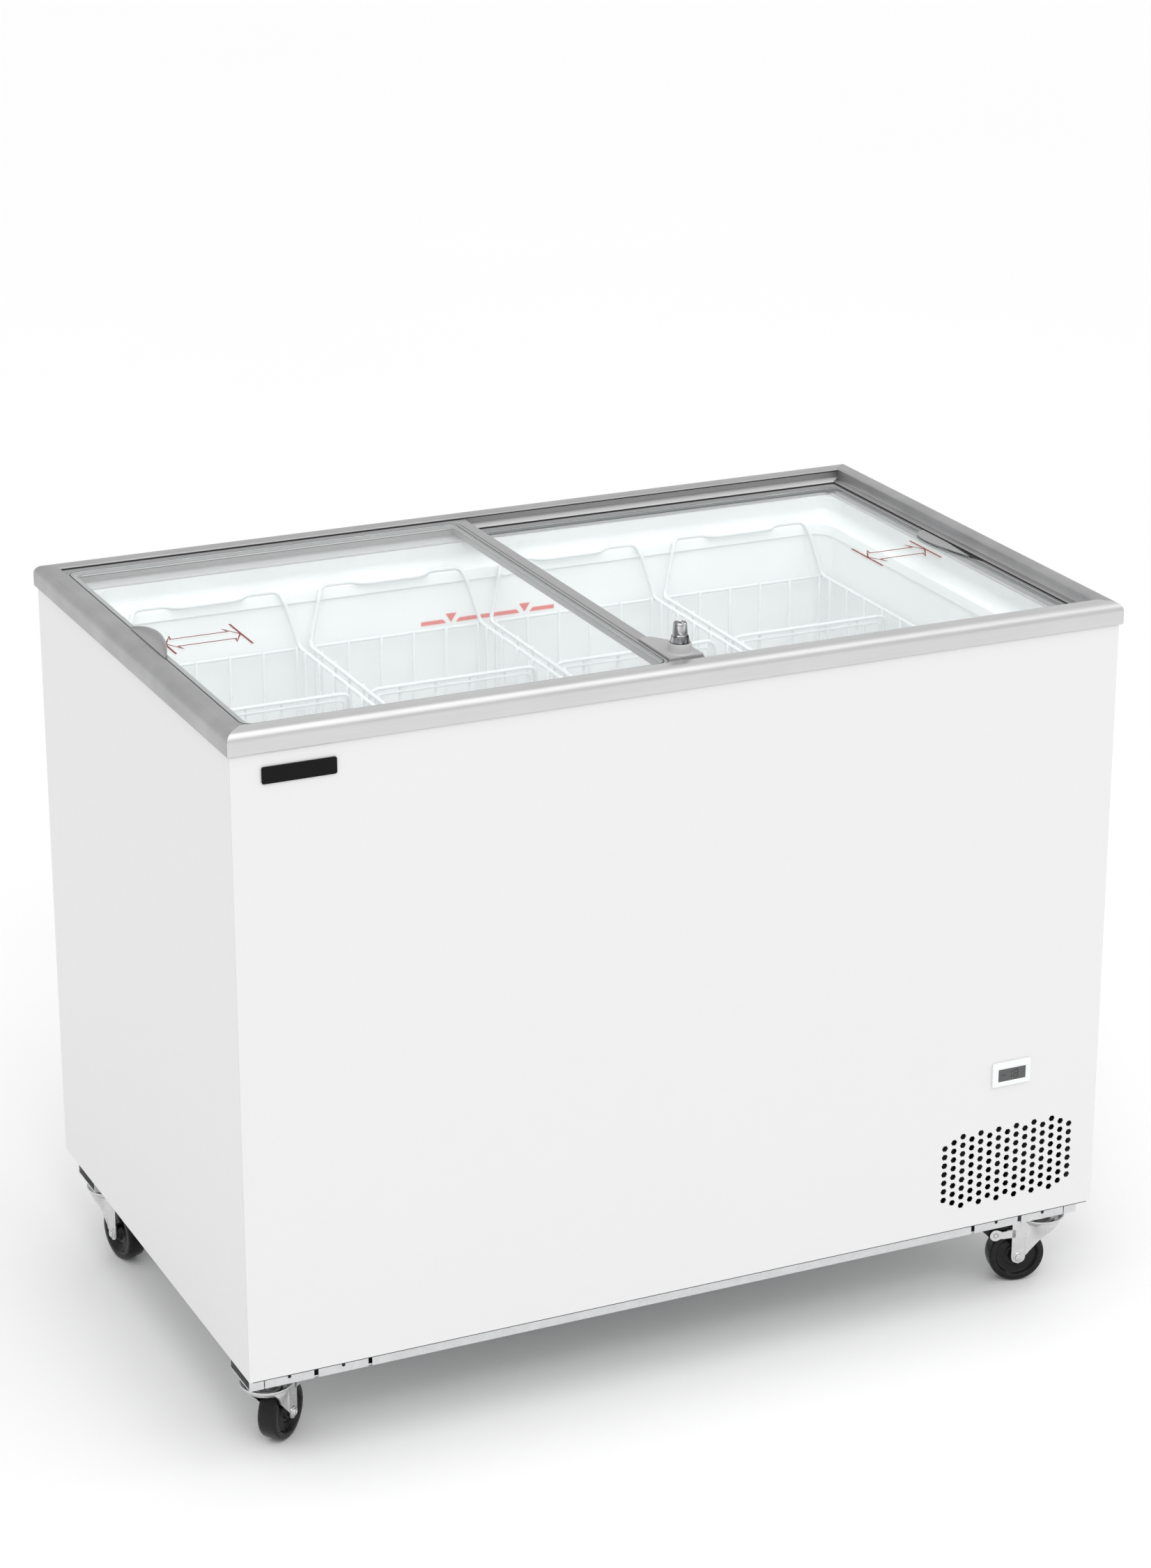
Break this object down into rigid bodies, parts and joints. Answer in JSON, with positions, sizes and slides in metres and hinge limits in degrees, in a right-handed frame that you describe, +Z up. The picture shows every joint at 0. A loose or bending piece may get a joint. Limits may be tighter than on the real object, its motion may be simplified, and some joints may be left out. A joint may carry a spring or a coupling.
{
  "type": "chest freezer",
  "caption": "Display chest freezer with two sliding glass lids in an aluminium frame, hanging wire baskets, a push lock, vent holes and swivel castors.",
  "frame": {"origin": "on the floor, under the centre of the cabinet and its top frame", "axes": "+X to the right along the front, +Y from the front panel to the rear panel, +Z up"},
  "size_m": [1.037, 0.635, 0.8646],
  "materials": {
    "white_paint": "gloss white powder coat",
    "galvanised": "galvanised sheet",
    "zinc": "bright zinc plate",
    "liner": "smooth white",
    "foam": "rigid cellular foam",
    "copper": "copper-coated refrigerant tube",
    "aluminium": "brushed, natural anodised",
    "grey_plastic": "satin grey moulding",
    "glass": "clear tempered glass",
    "chrome": "polished",
    "wire": "white dip-coated wire",
    "badge": "black gloss",
    "display": "dark display window",
    "black_plastic": "black moulding",
    "black_paint": "black enamel"
  },
  "bodies": {
    "cabinet": {"front_panel": "white_paint", "left_panel": "white_paint", "right_panel": "white_paint", "rear_panel": "white_paint", "base_pan": "galvanised", "inner_liner": "liner", "foam_insulation": "foam", "evaporator_coil": "copper", "liner_collar": "liner", "rail_front": "aluminium", "rail_rear": "aluminium", "rail_left": "aluminium", "rail_right": "aluminium", "front_channel": "galvanised", "rear_channel": "galvanised", "name_plate": "badge", "thermometer_bezel": "liner", "thermometer_display": "display", "power_inlet": "black_plastic", "condenser": "aluminium", "fan_motor": "black_plastic", "compressor": "black_paint", "castor_front_left_head": "zinc", "castor_front_right_head": "zinc", "castor_rear_left_head": "zinc", "castor_rear_right_head": "zinc"},
    "upper_lid": {"upper_lid_frame": "grey_plastic", "upper_lid_glass": "glass", "upper_lid_grip": "grey_plastic", "lock_housing": "grey_plastic", "lock_sleeve": "chrome"},
    "lock_barrel": {"lock_barrel": "chrome"},
    "lock_key": {"lock_key_plug": "chrome"},
    "lower_lid": {"lower_lid_frame": "grey_plastic", "lower_lid_glass": "glass", "lower_lid_grip": "grey_plastic"},
    "thermostat_knob": {"thermostat_knob": "black_plastic"},
    "fan_blade": {"fan_blade": "black_plastic"},
    "basket_1": {"basket_1": "wire", "basket_1_divider": "wire"},
    "basket_2": {"basket_2": "wire", "basket_2_divider": "wire"},
    "basket_3": {"basket_3": "wire", "basket_3_divider": "wire"},
    "basket_4": {"basket_4": "wire", "basket_4_divider": "wire"},
    "castor_front_left": {"castor_front_left_fork": "zinc", "castor_front_left_axle": "zinc"},
    "wheel_front_left": {"castor_front_left_wheel": "black_plastic"},
    "brake_front_left": {"castor_front_left_brake": "black_plastic"},
    "castor_front_right": {"castor_front_right_fork": "zinc", "castor_front_right_axle": "zinc"},
    "wheel_front_right": {"castor_front_right_wheel": "black_plastic"},
    "brake_front_right": {"castor_front_right_brake": "black_plastic"},
    "castor_rear_left": {"castor_rear_left_fork": "zinc", "castor_rear_left_axle": "zinc"},
    "wheel_rear_left": {"castor_rear_left_wheel": "black_plastic"},
    "castor_rear_right": {"castor_rear_right_fork": "zinc", "castor_rear_right_axle": "zinc"},
    "wheel_rear_right": {"castor_rear_right_wheel": "black_plastic"}
  },
  "joints": [
    {"name": "upper_lid_slide", "type": "slide", "parent": "cabinet", "child": "upper_lid", "axis": [1, 0, 0], "range_m": [0, 0.465]},
    {"name": "lower_lid_slide", "type": "slide", "parent": "cabinet", "child": "lower_lid", "axis": [-1, 0, 0], "range_m": [0, 0.465]},
    {"name": "lock_push", "type": "slide", "parent": "upper_lid", "child": "lock_barrel", "axis": [0, 0, -1], "range_m": [0, 0.012], "stiffness_N_per_m": 300, "springref_m": -0.005},
    {"name": "key_turn", "type": "hinge", "parent": "lock_barrel", "child": "lock_key", "pos_m": [0.0045, -0.265, 0.8596], "axis": [0, 0, 1], "range_deg": [0, 90]},
    {"name": "thermostat_turn", "type": "hinge", "parent": "cabinet", "child": "thermostat_knob", "pos_m": [0.307, 0.314, 0.2305], "axis": [0, 1, 0], "range_deg": [0, 270]},
    {"name": "fan_spin", "type": "hinge", "parent": "cabinet", "child": "fan_blade", "pos_m": [0.4003, -0.229, 0.1866], "axis": [0, 1, 0], "continuous": true},
    {"name": "basket_1_lift", "type": "slide", "parent": "cabinet", "child": "basket_1", "axis": [0, 0, 1], "range_m": [0, 0.02]},
    {"name": "basket_2_lift", "type": "slide", "parent": "cabinet", "child": "basket_2", "axis": [0, 0, 1], "range_m": [0, 0.02]},
    {"name": "basket_3_lift", "type": "slide", "parent": "cabinet", "child": "basket_3", "axis": [0, 0, 1], "range_m": [0, 0.02]},
    {"name": "basket_4_lift", "type": "slide", "parent": "cabinet", "child": "basket_4", "axis": [0, 0, 1], "range_m": [0, 0.02]},
    {"name": "swivel_front_left", "type": "hinge", "parent": "cabinet", "child": "castor_front_left", "pos_m": [-0.479, -0.265, 0.08], "axis": [0, 0, 1], "continuous": true},
    {"name": "roll_front_left", "type": "hinge", "parent": "castor_front_left", "child": "wheel_front_left", "pos_m": [-0.45711, -0.24597, 0.033], "axis": [-0.6561, 0.7547, 0], "continuous": true},
    {"name": "brake_front_left_press", "type": "hinge", "parent": "castor_front_left", "child": "brake_front_left", "pos_m": [-0.43598, -0.22761, 0.063], "axis": [-0.6561, 0.7547, 0], "range_deg": [0, 12]},
    {"name": "swivel_front_right", "type": "hinge", "parent": "cabinet", "child": "castor_front_right", "pos_m": [0.479, -0.265, 0.08], "axis": [0, 0, 1], "continuous": true},
    {"name": "roll_front_right", "type": "hinge", "parent": "castor_front_right", "child": "wheel_front_right", "pos_m": [0.45086, -0.25798, 0.033], "axis": [-0.2419, -0.9703, 0], "continuous": true},
    {"name": "brake_front_right_press", "type": "hinge", "parent": "castor_front_right", "child": "brake_front_right", "pos_m": [0.42369, -0.25121, 0.063], "axis": [-0.2419, -0.9703, 0], "range_deg": [0, 12]},
    {"name": "swivel_rear_left", "type": "hinge", "parent": "cabinet", "child": "castor_rear_left", "pos_m": [-0.479, 0.257, 0.08], "axis": [0, 0, 1], "continuous": true},
    {"name": "roll_rear_left", "type": "hinge", "parent": "castor_rear_left", "child": "wheel_rear_left", "pos_m": [-0.47396, 0.22844, 0.033], "axis": [0.9848, 0.1736, 0], "continuous": true},
    {"name": "swivel_rear_right", "type": "hinge", "parent": "cabinet", "child": "castor_rear_right", "pos_m": [0.479, 0.257, 0.08], "axis": [0, 0, 1], "continuous": true},
    {"name": "roll_rear_right", "type": "hinge", "parent": "castor_rear_right", "child": "wheel_rear_right", "pos_m": [0.46237, 0.23325, 0.033], "axis": [0.8192, -0.5736, 0], "continuous": true}
  ]
}
